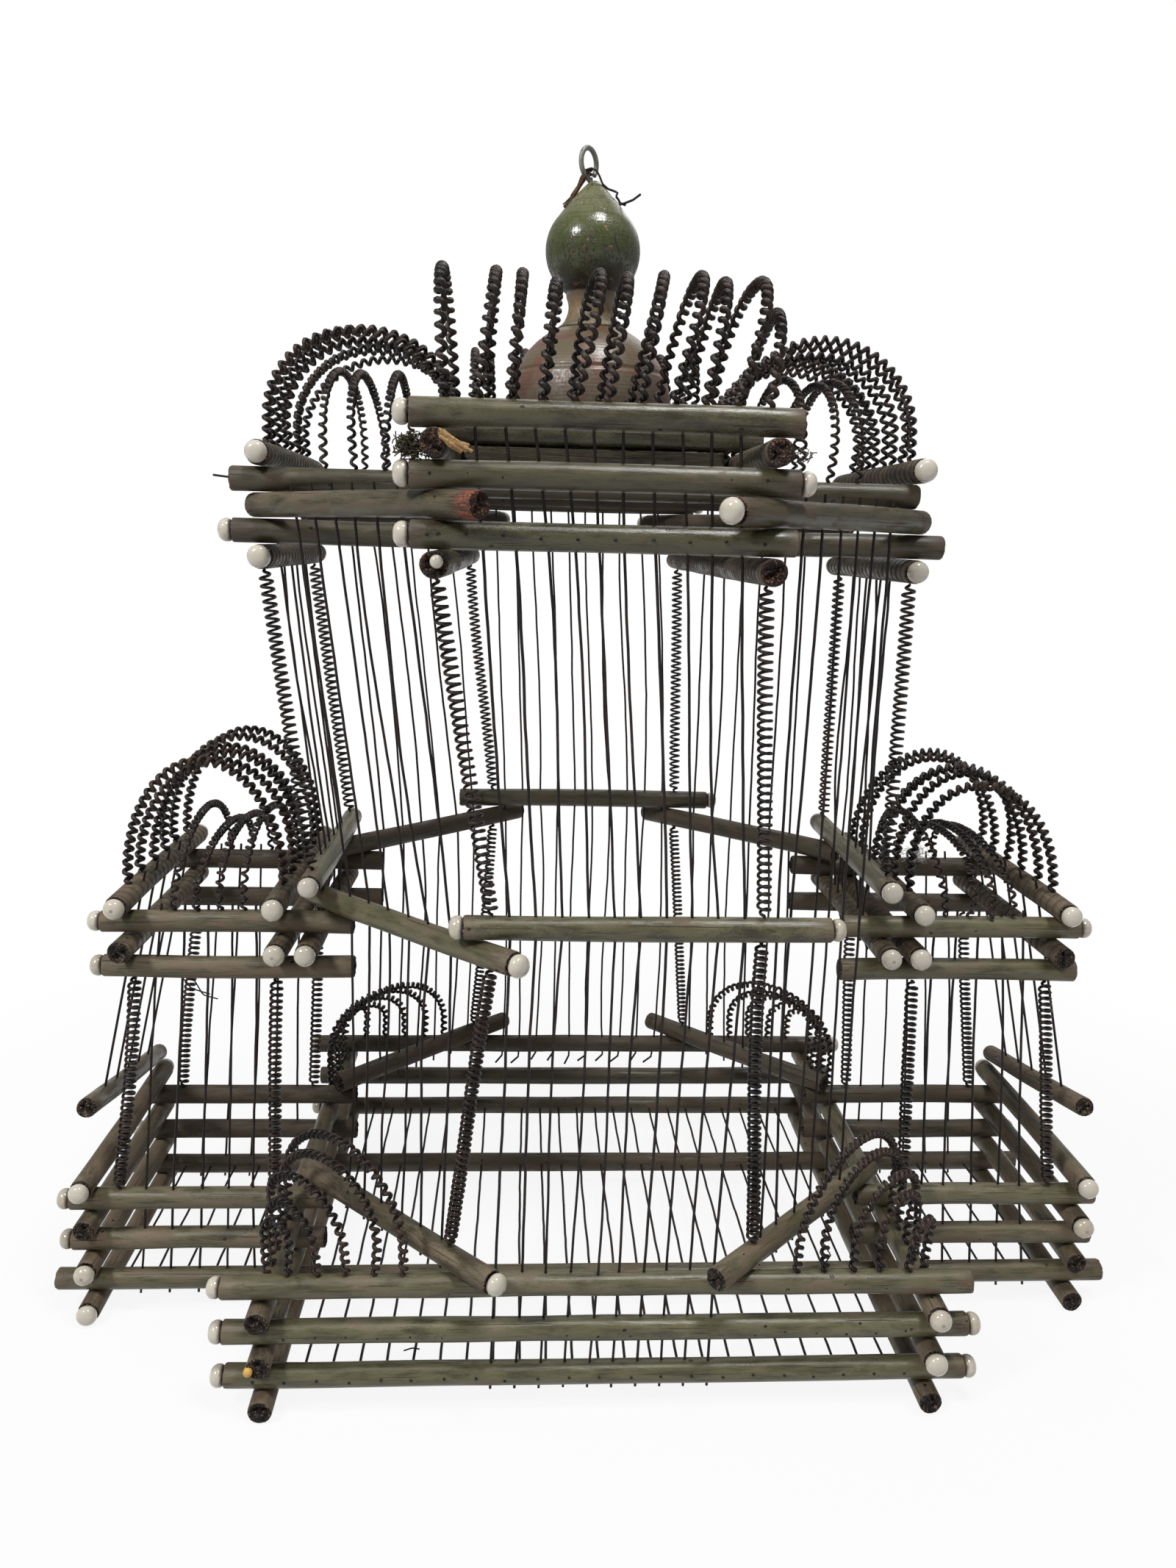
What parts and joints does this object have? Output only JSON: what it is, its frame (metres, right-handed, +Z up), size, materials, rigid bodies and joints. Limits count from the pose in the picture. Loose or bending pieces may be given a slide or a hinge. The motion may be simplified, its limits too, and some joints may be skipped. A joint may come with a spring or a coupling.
{
  "type": "birdcage",
  "caption": "Tall birdcage of crossed wooden sticks and straight wires with arched coiled-wire roofs, two side bays with sliding end doors, and a turned finial.",
  "frame": {"origin": "middle of the cage on the surface that it stands on", "axes": "+Z up, +X to the right of the front and towards the right bay, -Y towards the front"},
  "size_m": [0.488, 0.306, 0.5127],
  "materials": {
    "sticks": "worn olive paint on round sticks",
    "boards": "rough, mossy",
    "dome": "worn brown paint",
    "knob": "glossy worn green paint",
    "beads": "glazed white with grime",
    "wires": "dark rusty iron wire",
    "coils": "dark rusty coiled wire",
    "eye": "dull grey iron"
  },
  "bodies": {
    "cage": {"back_vault": "coils", "base_beads": "beads", "base_corner_rails": "sticks", "base_front_back_rails": "sticks", "base_side_rails": "sticks", "ceiling_board": "boards", "corner_arches": "coils", "crown_beads": "beads", "crown_corner_rails": "sticks", "crown_cross_rails": "sticks", "crown_deep_rails": "sticks", "crown_side_rails": "sticks", "crown_wide_rails": "sticks", "finial_dome": "dome", "finial_knob": "knob", "floor_rails": "sticks", "floor_wires": "wires", "front_vault": "coils", "hanging_eye": "eye", "left_bay_base_rails": "sticks", "left_bay_beads": "beads", "left_bay_coiled_post": "coils", "left_bay_posts": "coils", "left_bay_roof": "coils", "left_bay_roof_ribs": "coils", "left_bay_sills": "sticks", "left_bay_top_inner_rails": "sticks", "left_bay_top_rails": "sticks", "left_bay_top_sills": "sticks", "left_bay_wires": "wires", "left_vault": "coils", "left_vault_ribs": "coils", "right_bay_base_rails": "sticks", "right_bay_beads": "beads", "right_bay_posts": "coils", "right_bay_roof": "coils", "right_bay_roof_ribs": "coils", "right_bay_sills": "sticks", "right_bay_top_inner_rails": "sticks", "right_bay_top_rails": "sticks", "right_bay_top_sills": "sticks", "right_bay_wires": "wires", "right_vault": "coils", "right_vault_ribs": "coils", "ring_beads": "beads", "ring_corner_rails": "sticks", "ring_rails": "sticks", "roof_board": "boards", "tower_back_wires": "wires", "tower_corner_wires": "wires", "tower_front_wires": "wires", "tower_lower_posts": "coils", "tower_side_wires": "wires", "tower_upper_posts": "coils"},
    "left_door": {"left_door_rail": "sticks", "left_door_wires": "wires"},
    "right_door": {"right_door_rail": "sticks", "right_door_wires": "wires"}
  },
  "joints": [
    {"name": "left_door_slide", "type": "slide", "parent": "cage", "child": "left_door", "axis": [0.2203, 0, 0.9754], "range_m": [0, 0.05]},
    {"name": "right_door_slide", "type": "slide", "parent": "cage", "child": "right_door", "axis": [-0.2203, 0, 0.9754], "range_m": [0, 0.05]}
  ]
}
